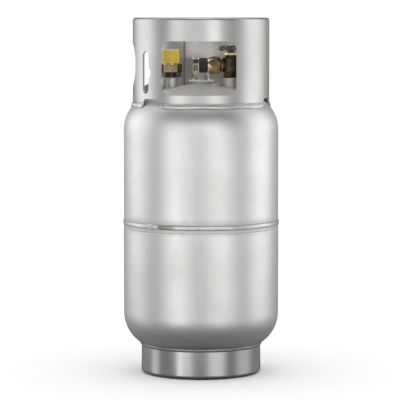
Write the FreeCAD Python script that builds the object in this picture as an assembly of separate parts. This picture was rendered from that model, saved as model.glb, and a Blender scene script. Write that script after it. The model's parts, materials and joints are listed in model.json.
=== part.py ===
"""Aluminium lift-truck propane cylinder, as an assembly of separate pieces.

Millimetres, +Z up. The front, where the collar's service window is, faces -Y. Azimuths are measured
from the front and grow towards +X. Heights below are measured from a datum plane 7 mm above the floor;
save() lifts every node by that much, so the finished origin is on the axis, in the plane that the foot
ring stands on.
"""

import FreeCAD, Part
import math
import os

from FreeCAD import Vector

os.makedirs("parts", exist_ok=True)

# Height of the datum plane above the floor
DATUM_Z = 7.0

# Driving dimensions: shell
SHELL_RADIUS = 155.0
LOWER_SHELL_RADIUS = 155.4
SHELL_WALL = 4.5
KNUCKLE_RADIUS = 73.0
CROWN_RADIUS = 280.0
UPPER_TANGENT_Z = 481.0
LOWER_TANGENT_Z = 115.0
GIRTH_Z = 296.0
LIP_CLEARANCE = 0.2
LIP_LENGTH = 16.0
JOGGLE_LENGTH = 6.0
GIRTH_BEAD_RADIUS = 156.6
GIRTH_BEAD_WIDTH = 10.0

# Driving dimensions: foot ring
FOOT_RADIUS = 120.0
FOOT_TOP_RADIUS = 119.0
FOOT_WALL = 4.0
FOOT_FLANGE_RADIUS = 105.0
FOOT_BOTTOM_Z = -DATUM_Z
FOOT_BEND_RADIUS = 8.0
FOOT_WELD_RADIUS = 3.4
FOOT_WELD_Z = 51.5

# Driving dimensions: collar
COLLAR_RADIUS = 136.4
COLLAR_WALL = 4.0
COLLAR_TOP_Z = 704.0
COLLAR_LIP_RADIUS = 126.0
COLLAR_BEND_RADIUS = 6.0
WINDOW_AZIMUTH = -2.1
WINDOW_WIDTH = 146.0
WINDOW_Z = (553.0, 658.0)
WINDOW_CORNER = 17.0
LEFT_HOLE_AZIMUTH = -105.0
LEFT_HOLE_WIDTH = 148.0
RIGHT_HOLE_AZIMUTH = 120.0
RIGHT_HOLE_WIDTH = 116.0
HAND_HOLE_Z = (565.0, 657.0)
HAND_HOLE_CORNER = 40.0
SLOT_AZIMUTH = -53.0
SLOT_WIDTH = 18.5
SLOT_Z = (555.0, 638.0)
SLOT_HOLE_Z = 596.0
SLOT_HOLE_OFFSET = 3.5
SLOT_HOLE_RADIUS = 12.0
NOTCH_AZIMUTHS = (-46.3, 73.7, 193.7)
NOTCH_WIDTH = 46.5
NOTCH_TOP_Z = 545.0
NOTCH_CORNER = 8.0
COLLAR_WELD_ARCS = ((-35.5, 62.9), (84.5, 182.9), (204.5, 302.9))
COLLAR_WELD_RADIUS = 4.6
COLLAR_WELD_INSET = 0.8
COLLAR_WELD_Z = 530.8
SEAM_AZIMUTH = -165.0
SEAM_WIDTH = 4.0
SEAM_HEIGHT = 1.2

# Where the fittings stand on the upper head, as (x, y)
SERVICE_PLACE = (60.0, -12.0)
RELIEF_PLACE = (-60.8, -8.0)
FILLER_PLACE = (-60.0, 46.0)
GAUGE_PLACE = (0.0, 28.0)
OUTAGE_PLACE = (-10.5, 75.0)

# Driving dimensions: bosses
PIPE_THREAD_RADIUS = 13.2
SMALL_THREAD_RADIUS = 6.7
BOSS_RADIUS = 21.0
GAUGE_BOSS_RADIUS = 27.0
OUTAGE_BOSS_RADIUS = 11.0
BOSS_BOTTOM_Z = 551.0
BOSS_TOP_Z = 585.0
GAUGE_BOSS_TOP_Z = 573.0
OUTAGE_BOSS_TOP_Z = 577.0
BOSS_BEAD_RADIUS = 3.2

# Driving dimensions: service valve and its hose coupling
SEAT_Z = 600.0
OUTLET_Z = 609.0
CHAMBER_RADIUS = 8.5
PLUG_TOP_Z = 619.0
BONNET_Z = 624.0
BONNET_HEX_Z = (629.2, 634.6)
VALVE_HEX = 30.0
VALVE_BARREL_RADIUS = 17.0
STEM_RADIUS = 3.5
HANDWHEEL_RADIUS = 25.0
HANDWHEEL_Z = (637.5, 648.5)
HANDWHEEL_LOBES = 7
EDUCTOR_RADIUS = 4.75
COUPLING_HEX = 32.0
COUPLING_THREAD_RADIUS = 12.6
COUPLING_CAP_RADIUS = 14.5
COUPLING_CAP_REACH = (47.4, 64.0)    # along the coupling's axis, from the valve's axis

# Driving dimensions: relief valve
RELIEF_SEAT_Z = 616.0
RELIEF_BORE = 9.0
RELIEF_BARREL_RADIUS = 15.0
RELIEF_HEX = 27.0
RELIEF_CAP_RADIUS = 18.4
RELIEF_CAP_Z = (613.5, 641.0)

# Driving dimensions: filler valve
FILLER_SEAT_Z = 598.0
FILLER_THREAD_RADIUS = 19.0
FILLER_HEX = 36.0
FILLER_CAP_RADIUS = 22.0
FILLER_CAP_Z = (594.5, 611.0)

# Driving dimensions: float gauge
GAUGE_HEAD_RADIUS = 25.0
GAUGE_SCREW_CIRCLE = 20.7
GAUGE_TUBE_RADIUS = 6.0
GAUGE_TUBE_BOTTOM_Z = 382.0
GAUGE_SHAFT_RADIUS = 1.6
FLOAT_ARM = 88.0
FLOAT_RADIUS = 20.0
FLOAT_Z = (338.0, 398.0)

# Fits
RUNNING_GAP = 0.06
FREE_GAP = 0.3

UP = Vector(0, 0, 1)
ORIGIN = Vector(0, 0, 0)


def save(name, shape):
    """Lift one node's solids from the datum plane and write them."""
    shape.translated(UP * DATUM_Z).exportStep("parts/" + name + ".step")


def corner_points(before, corner, after):
    """Where a rounded corner's arc starts, its middle and its end."""
    here = Vector(corner[0], 0, corner[1])
    back = (Vector(before[0], 0, before[1]) - here).normalize()
    ahead = (Vector(after[0], 0, after[1]) - here).normalize()
    half_angle = back.getAngle(ahead) / 2
    reach = corner[2] / math.tan(half_angle)
    middle_line = (back + ahead).normalize()
    middle_reach = corner[2] / math.sin(half_angle) - corner[2]
    return here + back * reach, here + middle_line * middle_reach, here + ahead * reach


def outline(corners):
    """Closed wire in the XZ plane; a corner is (x, z) or (x, z, rounding radius)."""
    edges = []
    stops = []
    for i, corner in enumerate(corners):
        if len(corner) == 3:
            start, middle, end = corner_points(corners[i - 1], corner, corners[(i + 1) % len(corners)])
            edges.append(Part.Arc(start, middle, end).toShape())
            stops.append((start, end))
        else:
            point = Vector(corner[0], 0, corner[1])
            stops.append((point, point))
    for i, stop in enumerate(stops):
        next_start = stops[(i + 1) % len(stops)][0]
        if stop[1].distanceToPoint(next_start) > 1e-6:
            edges.append(Part.LineSegment(stop[1], next_start).toShape())
    return Part.Wire(Part.__sortEdges__(edges))


def turned(corners, place=(0, 0), start=0.0, sweep=360.0):
    """Solid of revolution about the upright axis through place."""
    solid = Part.Face(outline(corners)).revolve(ORIGIN, UP, sweep)
    if start:
        solid.rotate(ORIGIN, UP, start)
    solid.translate(Vector(place[0], place[1], 0))
    return solid


def ring(inner, outer, low, high, place=(0, 0), rounding=0.0):
    """Plain ring, or a disc when inner is 0."""
    if rounding:
        corners = [(inner, low), (outer, low, rounding), (outer, high, rounding), (inner, high)]
    else:
        corners = [(inner, low), (outer, low), (outer, high), (inner, high)]
    return turned(corners, place)


def threaded(major, pitch, low, high, place=(0, 0)):
    """Cylinder with thread crests drawn as closed rings."""
    depth = 0.35 * pitch
    corners = [(0, low), (major - depth, low)]
    turns = int((high - low) / pitch)
    first = low + (high - low - turns * pitch) / 2
    for i in range(turns):
        root = first + i * pitch
        corners.append((major - depth, root + 0.1 * pitch))
        corners.append((major, root + 0.4 * pitch))
        corners.append((major, root + 0.6 * pitch))
        corners.append((major - depth, root + 0.9 * pitch))
    corners.append((major - depth, high))
    corners.append((0, high))
    return turned(corners, place)


def hexagon(across_flats, low, high, place=(0, 0), chamfer=1.2, spin=0.0, slope=1.8):
    """Hexagonal prism with both ends chamfered to a cone; slope is the cone's radial over its axial reach."""
    corner_radius = across_flats / math.sqrt(3)
    points = []
    for i in range(7):
        angle = math.radians(60 * i + spin)
        points.append(Vector(corner_radius * math.cos(angle), corner_radius * math.sin(angle), low))
    prism = Part.Face(Part.makePolygon(points)).extrude(UP * (high - low))
    edge = corner_radius - slope * chamfer
    envelope = turned([(0, low), (edge, low), (corner_radius + 0.01, low + chamfer),
                       (corner_radius + 0.01, high - chamfer), (edge, high), (0, high)])
    solid = prism.common(envelope)
    solid.translate(Vector(place[0], place[1], 0))
    return solid


def scalloped(solid, count, cutter_radius, cutter_circle, low, high, place):
    """Cut evenly spaced upright grip grooves round a cap or wheel."""
    cutters = []
    for i in range(count):
        angle = 2 * math.pi * (i + 0.5) / count
        base = Vector(place[0] + cutter_circle * math.cos(angle), place[1] + cutter_circle * math.sin(angle), low)
        cutters.append(Part.makeCylinder(cutter_radius, high - low, base))
    return solid.cut(cutters)


def spring(radius, wire_radius, low, high, turns, place=(0, 0)):
    """Helical compression spring between two heights."""
    height = high - low - 2 * wire_radius
    helix = Part.makeHelix(height / turns, height, radius)
    section = Part.Wire(Part.makeCircle(wire_radius, Vector(radius, 0, 0), Vector(0, 1, 0)))
    solid = Part.Wire(helix.Edges).makePipeShell([section], True, True)
    solid.translate(Vector(place[0], place[1], low + wire_radius))
    return solid


def to_outlet(solid):
    """Lay a solid built along +Z about the origin onto the service valve's outlet axis, pointing to -X."""
    solid.rotate(ORIGIN, Vector(0, 1, 0), -90)
    solid.translate(Vector(SERVICE_PLACE[0], SERVICE_PLACE[1], OUTLET_Z))
    return solid


def window_tool(azimuth, width, low, high, corner):
    """Radial cutter with rounded corners, for an opening in the collar."""
    half = width / 2
    wire = outline([(-half, low, corner), (half, low, corner), (half, high, corner), (-half, high, corner)])
    tool = Part.Face(wire).extrude(Vector(0, -2 * COLLAR_RADIUS, 0))
    tool.rotate(ORIGIN, UP, azimuth)
    return tool


# Shell

def crown_centre_z(radius, tangent_z, side):
    """Height of the crown's centre; side is +1 for the upper head and -1 for the lower one."""
    reach = math.sqrt((CROWN_RADIUS - KNUCKLE_RADIUS) ** 2 - (radius - KNUCKLE_RADIUS) ** 2)
    return tangent_z - side * reach


def head_edges(radius, tangent_z, side, inset):
    """Crown arc and knuckle arc of a head, inset from its outer surface."""
    centre_z = crown_centre_z(radius, tangent_z, side)
    knuckle_x = radius - KNUCKLE_RADIUS
    slope = math.atan2(abs(tangent_z - centre_z), knuckle_x)
    crown = CROWN_RADIUS - inset
    knuckle = KNUCKLE_RADIUS - inset

    def on_crown(angle):
        return Vector(crown * math.cos(angle), 0, centre_z + side * crown * math.sin(angle))

    def on_knuckle(angle):
        return Vector(knuckle_x + knuckle * math.cos(angle), 0, tangent_z + side * knuckle * math.sin(angle))

    top = Vector(0, 0, centre_z + side * crown)
    crown_arc = Part.Arc(top, on_crown((slope + math.pi / 2) / 2), on_crown(slope)).toShape()
    knuckle_arc = Part.Arc(on_knuckle(slope), on_knuckle(slope / 2), on_knuckle(0)).toShape()
    return crown_arc, knuckle_arc


def polyline(points):
    """Straight edges through (x, z) points."""
    corners = [Vector(x, 0, z) for x, z in points]
    return [Part.LineSegment(a, b).toShape() for a, b in zip(corners, corners[1:])]


def head_envelope(radius, tangent_z, side):
    """The solid inside a head's outer surface, from its tangent line to its crown."""
    crown_arc, knuckle_arc = head_edges(radius, tangent_z, side, 0)
    crown_z = crown_centre_z(radius, tangent_z, side) + side * CROWN_RADIUS
    edges = [crown_arc, knuckle_arc] + polyline([(radius, tangent_z), (0, tangent_z), (0, crown_z)])
    return Part.Face(Part.Wire(Part.__sortEdges__(edges))).revolve(ORIGIN, UP, 360)


def upper_head():
    """Upper half: plain skirt, knuckle and crown, before its openings are cut."""
    outer = head_edges(SHELL_RADIUS, UPPER_TANGENT_Z, 1, 0)
    inner = head_edges(SHELL_RADIUS, UPPER_TANGENT_Z, 1, SHELL_WALL)
    crown_z = crown_centre_z(SHELL_RADIUS, UPPER_TANGENT_Z, 1) + CROWN_RADIUS
    inside = SHELL_RADIUS - SHELL_WALL
    skirt = [(SHELL_RADIUS, UPPER_TANGENT_Z), (SHELL_RADIUS, GIRTH_Z + 5), (SHELL_RADIUS - 3, GIRTH_Z),
             (inside, GIRTH_Z), (inside, UPPER_TANGENT_Z)]
    edges = list(outer) + list(inner) + polyline(skirt) + polyline([(0, crown_z), (0, crown_z - SHELL_WALL)])
    return Part.Face(Part.Wire(Part.__sortEdges__(edges))).revolve(ORIGIN, UP, 360)


def lower_head():
    """Lower half, its top edge set inwards to slip inside the upper half."""
    outer = head_edges(LOWER_SHELL_RADIUS, LOWER_TANGENT_Z, -1, 0)
    inner = head_edges(LOWER_SHELL_RADIUS, LOWER_TANGENT_Z, -1, SHELL_WALL)
    crown_z = crown_centre_z(LOWER_SHELL_RADIUS, LOWER_TANGENT_Z, -1) - CROWN_RADIUS
    lip_outside = SHELL_RADIUS - SHELL_WALL - LIP_CLEARANCE
    lip_inside = lip_outside - SHELL_WALL
    inside = LOWER_SHELL_RADIUS - SHELL_WALL
    joggle_low = GIRTH_Z - JOGGLE_LENGTH
    joggle_high = GIRTH_Z
    outer_joggle = Part.BezierCurve()
    outer_joggle.setPoles([Vector(LOWER_SHELL_RADIUS, 0, joggle_low),
                           Vector(LOWER_SHELL_RADIUS, 0, joggle_low + 0.55 * JOGGLE_LENGTH),
                           Vector(lip_outside, 0, joggle_high - 0.55 * JOGGLE_LENGTH),
                           Vector(lip_outside, 0, joggle_high)])
    inner_joggle = Part.BezierCurve()
    inner_joggle.setPoles([Vector(inside, 0, joggle_low),
                           Vector(inside, 0, joggle_low + 0.55 * JOGGLE_LENGTH),
                           Vector(lip_inside, 0, joggle_high - 0.55 * JOGGLE_LENGTH),
                           Vector(lip_inside, 0, joggle_high)])
    edges = list(outer) + list(inner) + [outer_joggle.toShape(), inner_joggle.toShape()]
    edges += polyline([(LOWER_SHELL_RADIUS, LOWER_TANGENT_Z), (LOWER_SHELL_RADIUS, joggle_low)])
    edges += polyline([(lip_outside, joggle_high), (lip_outside, joggle_high + LIP_LENGTH),
                       (lip_inside, joggle_high + LIP_LENGTH), (lip_inside, joggle_high)])
    edges += polyline([(inside, joggle_low), (inside, LOWER_TANGENT_Z)])
    edges += polyline([(0, crown_z), (0, crown_z + SHELL_WALL)])
    return Part.Face(Part.Wire(Part.__sortEdges__(edges))).revolve(ORIGIN, UP, 360)


def girth_weld(lower, upper):
    """Bead that fills the groove between the halves and stands a little proud of them."""
    half = GIRTH_BEAD_WIDTH / 2
    root = SHELL_RADIUS - SHELL_WALL - LIP_CLEARANCE
    bead = turned([(root + 2.2, GIRTH_Z - half), (SHELL_RADIUS, GIRTH_Z - half),
                   (GIRTH_BEAD_RADIUS, GIRTH_Z - 0.4 * half, 2), (GIRTH_BEAD_RADIUS, GIRTH_Z + 0.4 * half, 2),
                   (SHELL_RADIUS, GIRTH_Z + half), (root, GIRTH_Z + half), (root, GIRTH_Z - 1.5)])
    return bead.cut([lower, upper])


def foot_ring(envelope):
    """Rolled ring with its lower edge turned in and its top edge cut to the lower head."""
    top_z = LOWER_TANGENT_Z - 50
    inner_bend = FOOT_BEND_RADIUS - FOOT_WALL
    low = FOOT_BOTTOM_Z
    blank = turned([(FOOT_FLANGE_RADIUS, low), (FOOT_RADIUS, low, FOOT_BEND_RADIUS), (FOOT_TOP_RADIUS, top_z),
                    (FOOT_TOP_RADIUS - FOOT_WALL, top_z), (FOOT_RADIUS - FOOT_WALL, low + FOOT_WALL, inner_bend),
                    (FOOT_FLANGE_RADIUS, low + FOOT_WALL)])
    return blank.cut(envelope)


def foot_ring_weld(foot, envelope):
    """Outside fillet between foot ring and lower head."""
    centre = Vector(FOOT_TOP_RADIUS, 0, FOOT_WELD_Z)
    profile = Part.Face(Part.Wire(Part.makeCircle(FOOT_WELD_RADIUS, centre, Vector(0, 1, 0))))
    bead = profile.revolve(ORIGIN, UP, 360)
    inside = ring(0, FOOT_TOP_RADIUS - FOOT_WALL / 2, FOOT_WELD_Z - 20, FOOT_WELD_Z + 20)
    return bead.cut([envelope, foot, inside])


# Collar

def collar_blank():
    """Collar wall with its top edge rolled inwards, before anything is cut."""
    inner = COLLAR_RADIUS - COLLAR_WALL
    low = 515.0
    return turned([(COLLAR_RADIUS, low), (COLLAR_RADIUS, COLLAR_TOP_Z, COLLAR_BEND_RADIUS),
                   (COLLAR_LIP_RADIUS, COLLAR_TOP_Z, 1.5), (COLLAR_LIP_RADIUS, COLLAR_TOP_Z - COLLAR_WALL, 1.5),
                   (inner, COLLAR_TOP_Z - COLLAR_WALL, COLLAR_BEND_RADIUS - COLLAR_WALL), (inner, low)])


def collar(envelope):
    """Guard collar with its openings."""
    tools = [envelope,
             window_tool(WINDOW_AZIMUTH, WINDOW_WIDTH, WINDOW_Z[0], WINDOW_Z[1], WINDOW_CORNER),
             window_tool(LEFT_HOLE_AZIMUTH, LEFT_HOLE_WIDTH, HAND_HOLE_Z[0], HAND_HOLE_Z[1], HAND_HOLE_CORNER),
             window_tool(RIGHT_HOLE_AZIMUTH, RIGHT_HOLE_WIDTH, HAND_HOLE_Z[0], HAND_HOLE_Z[1], HAND_HOLE_CORNER),
             window_tool(SLOT_AZIMUTH, SLOT_WIDTH, SLOT_Z[0], SLOT_Z[1], SLOT_WIDTH / 2 - 0.1)]
    hole_start = Vector(SLOT_HOLE_OFFSET, 0, SLOT_HOLE_Z)
    hole = Part.makeCylinder(SLOT_HOLE_RADIUS, 2 * COLLAR_RADIUS, hole_start, Vector(0, -1, 0))
    hole.rotate(ORIGIN, UP, SLOT_AZIMUTH)
    tools.append(hole)
    for azimuth in NOTCH_AZIMUTHS:
        tools.append(window_tool(azimuth, NOTCH_WIDTH, 480.0, NOTCH_TOP_Z, NOTCH_CORNER))
    wall = collar_blank()
    for tool in tools:
        wall = wall.cut(tool)
    return wall


def collar_welds(blank, envelope):
    """Fillet runs at the collar's base, one between each pair of notches."""
    inside = ring(0, COLLAR_RADIUS - COLLAR_WALL / 2, 500, 560)
    beads = []
    for first, last in COLLAR_WELD_ARCS:
        centre = Vector(COLLAR_RADIUS - COLLAR_WELD_INSET, 0, COLLAR_WELD_Z)
        profile = Part.Face(Part.Wire(Part.makeCircle(COLLAR_WELD_RADIUS, centre, Vector(0, 1, 0))))
        bead = profile.revolve(ORIGIN, UP, last - first)
        bead.rotate(ORIGIN, UP, first - 90)
        beads.append(bead.cut([blank, envelope, inside]))
    return Part.makeCompound(beads)


def collar_seam(blank):
    """Upright bead, inside the collar, where the rolled strip's ends meet."""
    inner = COLLAR_RADIUS - COLLAR_WALL
    half = SEAM_WIDTH / 2
    wire = outline([(-half, inner - SEAM_HEIGHT, 0.8), (half, inner - SEAM_HEIGHT, 0.8),
                    (half, inner + 1), (-half, inner + 1)])
    bar = Part.Face(wire)
    bar.rotate(ORIGIN, Vector(1, 0, 0), 90)
    bar = bar.extrude(Vector(0, 0, COLLAR_TOP_Z - COLLAR_WALL - 4 - WINDOW_Z[0]))
    bar.translate(Vector(0, 0, WINDOW_Z[0]))
    bar.rotate(ORIGIN, UP, SEAM_AZIMUTH)
    return bar.cut(blank)


# Bosses

def boss(place, outer, bore, top):
    """Threaded boss through the upper head."""
    return turned([(bore, BOSS_BOTTOM_Z), (outer, BOSS_BOTTOM_Z), (outer, top, 1.2), (bore + 1, top),
                   (bore, top - 1)], place)


def boss_weld(place, outer, envelope):
    """Weld ring where a boss leaves the upper head, lying along the head's slope."""
    distance = math.hypot(place[0], place[1])
    centre_z = crown_centre_z(SHELL_RADIUS, UPPER_TANGENT_Z, 1)
    height = centre_z + math.sqrt(CROWN_RADIUS ** 2 - distance ** 2)
    normal = Vector(place[0], place[1], height - centre_z).normalize()
    bead = Part.makeTorus(outer + 0.4, BOSS_BEAD_RADIUS, Vector(place[0], place[1], height), normal)
    post = ring(0, outer, BOSS_BOTTOM_Z - 5, BOSS_TOP_Z + 5, place)
    return bead.cut([envelope, post])


BOSSES = (
    ("service_boss", SERVICE_PLACE, BOSS_RADIUS, PIPE_THREAD_RADIUS, BOSS_TOP_Z),
    ("relief_boss", RELIEF_PLACE, BOSS_RADIUS, PIPE_THREAD_RADIUS, BOSS_TOP_Z),
    ("filler_boss", FILLER_PLACE, BOSS_RADIUS, PIPE_THREAD_RADIUS, BOSS_TOP_Z),
    ("outage_boss", OUTAGE_PLACE, OUTAGE_BOSS_RADIUS, SMALL_THREAD_RADIUS, OUTAGE_BOSS_TOP_Z),
    ("gauge_boss", GAUGE_PLACE, GAUGE_BOSS_RADIUS, 14.0, GAUGE_BOSS_TOP_Z),
)


def gauge_screw_places():
    """Centres of the four gauge screws."""
    places = []
    for i in range(4):
        angle = math.radians(45 + 90 * i)
        places.append((GAUGE_PLACE[0] + GAUGE_SCREW_CIRCLE * math.cos(angle),
                       GAUGE_PLACE[1] + GAUGE_SCREW_CIRCLE * math.sin(angle)))
    return places


# Service valve

def valve_body():
    """Brass body: pipe-thread shank, hexagon, barrel, outlet branch and the passages inside."""
    place = SERVICE_PLACE
    shank = ring(0, PIPE_THREAD_RADIUS, 556, BOSS_TOP_Z + 2, place)
    grip = hexagon(VALVE_HEX, BOSS_TOP_Z + 1, 597, place, spin=30)
    neck_z = BONNET_HEX_Z[0] - 0.2
    barrel = turned([(0, 596), (VALVE_BARREL_RADIUS, 596, 1), (VALVE_BARREL_RADIUS, neck_z - 4, 1.5),
                     (12.6, neck_z - 4), (12.6, neck_z, 0.6), (0, neck_z)], place)
    branch = to_outlet(turned([(0, 4), (12.5, 4), (12.5, 19, 1.0), (11.2, 21.5), (0, 21.5)]))
    body = shank.fuse([grip, barrel, branch]).removeSplitter()
    inlet = ring(0, 4.5, 550, SEAT_Z + 1, place)
    tube_socket = ring(0, EDUCTOR_RADIUS, 550, 566, place)
    chamber = ring(0, CHAMBER_RADIUS, SEAT_Z, BONNET_Z + 0.01, place)
    bonnet_thread = ring(0, 10.5, BONNET_Z, 632, place)
    port = to_outlet(ring(0, 4.5, 0, 12))
    outlet_thread = to_outlet(ring(0, 8.6, 11, 23))
    return body.cut([inlet, tube_socket, chamber, bonnet_thread, port, outlet_thread])


def valve_plug():
    """Lower stem: seat-disc holder, neck and threaded head with a driving slot."""
    plug = turned([(0, SEAT_Z + 2), (6.2, SEAT_Z + 2), (6.2, SEAT_Z + 6, 0.5), (4.2, SEAT_Z + 7.5),
                   (4.2, 609.5), (CHAMBER_RADIUS - RUNNING_GAP, 610.5), (CHAMBER_RADIUS - RUNNING_GAP, PLUG_TOP_Z),
                   (0, PLUG_TOP_Z)], SERVICE_PLACE)
    slot = Part.makeBox(20, 3.6, 8, Vector(SERVICE_PLACE[0] - 10, SERVICE_PLACE[1] - 1.8, PLUG_TOP_Z - 7.5))
    return plug.cut(slot)


def valve_seat_disc():
    """Soft disc that closes on the seat."""
    return ring(0, 6.2, SEAT_Z, SEAT_Z + 2, SERVICE_PLACE)


def valve_stem():
    """Upper stem: driving tongue, thrust collar, shaft and square end for the handwheel."""
    x, y = SERVICE_PLACE
    low, high = HANDWHEEL_Z
    shaft = ring(0, STEM_RADIUS, PLUG_TOP_Z + 4.2, low - 0.1, SERVICE_PLACE)
    thrust = ring(0, 6.4, BONNET_Z + 0.3, BONNET_Z + 2.3, SERVICE_PLACE)
    tongue = Part.makeBox(6.4, 3.0, 8, Vector(x - 3.2, y - 1.5, PLUG_TOP_Z - 2.5))
    square = Part.makeBox(5, 5, high - low + 0.6, Vector(x - 2.5, y - 2.5, low - 0.6))
    stem = shaft.fuse([thrust, tongue, square]).removeSplitter()
    return stem.cut(ring(0, 1.5, low + 3, high + 1, SERVICE_PLACE))


def valve_bonnet():
    """Gland nut that holds the stem down and squeezes the packing."""
    low, high = BONNET_HEX_Z
    hexagonal = hexagon(23.0, low, high, SERVICE_PLACE)
    thread = ring(0, 10.5, BONNET_Z, low + 0.1, SERVICE_PLACE)
    nose = turned([(0, high - 0.5), (8.2, high - 0.5), (7.4, high + 1.9, 0.6), (0, high + 1.9)], SERVICE_PLACE)
    bonnet = hexagonal.fuse([thread, nose]).removeSplitter()
    thrust_room = ring(0, 6.8, BONNET_Z - 1, BONNET_Z + 2.6, SERVICE_PLACE)
    packing_room = ring(0, 6.0, BONNET_Z + 2, high - 3, SERVICE_PLACE)
    bore = ring(0, STEM_RADIUS + RUNNING_GAP, 620, 640, SERVICE_PLACE)
    return bonnet.cut([thrust_room, packing_room, bore])


def valve_packing():
    """Packing ring round the stem."""
    return ring(STEM_RADIUS + RUNNING_GAP, 6.0, BONNET_Z + 3, BONNET_HEX_Z[1] - 3, SERVICE_PLACE)


def valve_handwheel():
    """Lobed handwheel with a dished top and a square hole."""
    low, high = HANDWHEEL_Z
    x, y = SERVICE_PLACE
    wheel = turned([(0, low), (8.5, low), (10, low + 2), (HANDWHEEL_RADIUS - 1.5, low + 0.6, 1.0),
                    (HANDWHEEL_RADIUS, low + 2, 1.0), (HANDWHEEL_RADIUS, high - 1.2, 1.8),
                    (HANDWHEEL_RADIUS - 5, high, 1.5), (HANDWHEEL_RADIUS - 8, high - 3, 1), (9, high - 3, 1),
                    (7, high - 0.5, 0.8), (0, high - 0.5)], SERVICE_PLACE)
    wheel = scalloped(wheel, HANDWHEEL_LOBES, 7.5, HANDWHEEL_RADIUS + 4.5, low - 1, high + 1, SERVICE_PLACE)
    return wheel.cut(Part.makeBox(5.1, 5.1, 12, Vector(x - 2.55, y - 2.55, low - 1)))


def handwheel_screw():
    """Pan-head screw that holds the handwheel."""
    head_z = HANDWHEEL_Z[1]
    end_z = HANDWHEEL_Z[0] + 3.5
    screw = turned([(0, end_z), (1.4, end_z), (1.4, head_z), (4.6, head_z), (4.6, head_z + 2.8, 1.4),
                    (0, head_z + 2.8)], SERVICE_PLACE)
    slot = Part.makeBox(12, 1.0, 2, Vector(SERVICE_PLACE[0] - 6, SERVICE_PLACE[1] - 0.5, head_z + 1.6))
    return screw.cut(slot)


def bent_tube(points, bend_radius, outer, inner):
    """Tube along straight runs joined by one arc."""
    first, corner, last = points
    back = (first - corner).normalize()
    ahead = (last - corner).normalize()
    half_angle = back.getAngle(ahead) / 2
    reach = bend_radius / math.tan(half_angle)
    middle = corner + (back + ahead).normalize() * (bend_radius / math.sin(half_angle) - bend_radius)
    path = Part.Wire([Part.LineSegment(first, corner + back * reach).toShape(),
                      Part.Arc(corner + back * reach, middle, corner + ahead * reach).toShape(),
                      Part.LineSegment(corner + ahead * reach, last).toShape()])
    solids = []
    for radius in (outer, inner):
        section = Part.Wire(Part.makeCircle(radius, first, (corner - first).normalize()))
        solids.append(path.makePipeShell([section], True, True))
    return solids[0].cut(solids[1])


def eductor_tube():
    """Liquid tube that bends towards the wall that is lowest when the cylinder lies on its side."""
    x, y = SERVICE_PLACE
    points = (Vector(x, y, 565.5), Vector(x, y, 496), Vector(138, y, 428))
    return bent_tube(points, 40, EDUCTOR_RADIUS, EDUCTOR_RADIUS - 1.2)


# Hose coupling: built along +Z from the valve's axis, then laid over

def coupling_body():
    """Brass male half: pipe thread, deeply chamfered hexagon, coarse male thread and nose."""
    pipe = ring(0, 8.6, 13, 22)
    grip = hexagon(COUPLING_HEX, 21.8, 43.5, chamfer=8.0, spin=15, slope=0.354)
    thread = threaded(COUPLING_THREAD_RADIUS, 3.2, 43, 54)
    nose = turned([(0, 53.5), (10, 53.5), (10, 57, 1), (0, 57)])
    body = pipe.fuse([grip, thread, nose]).removeSplitter()
    bore = turned([(0, 10), (5, 10), (5, 27), (8, 27), (8, 47), (4.5, 52), (4.5, 58), (0, 58)])
    return to_outlet(body.cut(bore))


def coupling_ring():
    """Bright washer between the hexagon and the dust cap."""
    return to_outlet(ring(COUPLING_THREAD_RADIUS + 0.1, 15.4, 43.7, 46.4, rounding=0.5))


def coupling_poppet():
    """Check poppet with a guide stem behind and a push pin in front."""
    return to_outlet(turned([(0, 18), (2, 18), (2, 40.5), (6.6, 40.5), (6.6, 45.4), (5.0, 47.2), (2.2, 48.2),
                             (2.2, 55, 0.8), (0, 55)]))


def coupling_seal():
    """Soft ring on the poppet's cone that meets the coupling's seat."""
    return to_outlet(turned([(5.6, 46.9), (6.5, 45.9), (7.4, 46.6), (5.6, 48.2)]))


def coupling_spring():
    """Spring that pushes the poppet shut."""
    return to_outlet(spring(5.0, 0.7, 27.1, 40.4, 5))


def coupling_cap():
    """Black dust cap over the coupling's thread."""
    near, far = COUPLING_CAP_REACH
    inner = COUPLING_THREAD_RADIUS + FREE_GAP
    cap = turned([(inner, near), (COUPLING_CAP_RADIUS, near, 0.6), (COUPLING_CAP_RADIUS, far, 2), (0, far),
                  (0, far - 2), (inner, far - 2)])
    cap = scalloped(cap, 20, 1.2, COUPLING_CAP_RADIUS + 0.6, near + 2.1, far - 2.5, (0, 0))
    return to_outlet(cap)


# Relief valve

def relief_body():
    """Brass body: shank, threaded neck, hexagon, barrel, seat and a web that guides the stem."""
    place = RELIEF_PLACE
    shank = ring(0, PIPE_THREAD_RADIUS, 556, BOSS_TOP_Z, place)
    neck = threaded(PIPE_THREAD_RADIUS + 0.6, 1.8, BOSS_TOP_Z + 0.2, 596, place)
    grip = hexagon(RELIEF_HEX, 595, 611, place, chamfer=1.6, spin=30)
    barrel = turned([(0, 610.5), (RELIEF_BARREL_RADIUS, 610.5), (RELIEF_BARREL_RADIUS, 634, 1), (0, 634)], place)
    flange = ring(0, PIPE_THREAD_RADIUS, BOSS_TOP_Z - 1, BOSS_TOP_Z + 1, place)
    body = shank.fuse([neck, grip, barrel, flange]).removeSplitter()
    bore = ring(0, RELIEF_BORE, 561, RELIEF_SEAT_Z + 1, place)
    outlet = ring(0, 13, RELIEF_SEAT_Z, 640, place)
    guide = ring(0, 2.5 + RUNNING_GAP, 550, 565, place)
    tools = [bore, outlet, guide]
    for i in range(6):
        angle = math.radians(60 * i)
        base = Vector(place[0] + 5.9 * math.cos(angle), place[1] + 5.9 * math.sin(angle), 555)
        tools.append(Part.makeCylinder(2.0, 8, base))
    return body.cut(tools)


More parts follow.
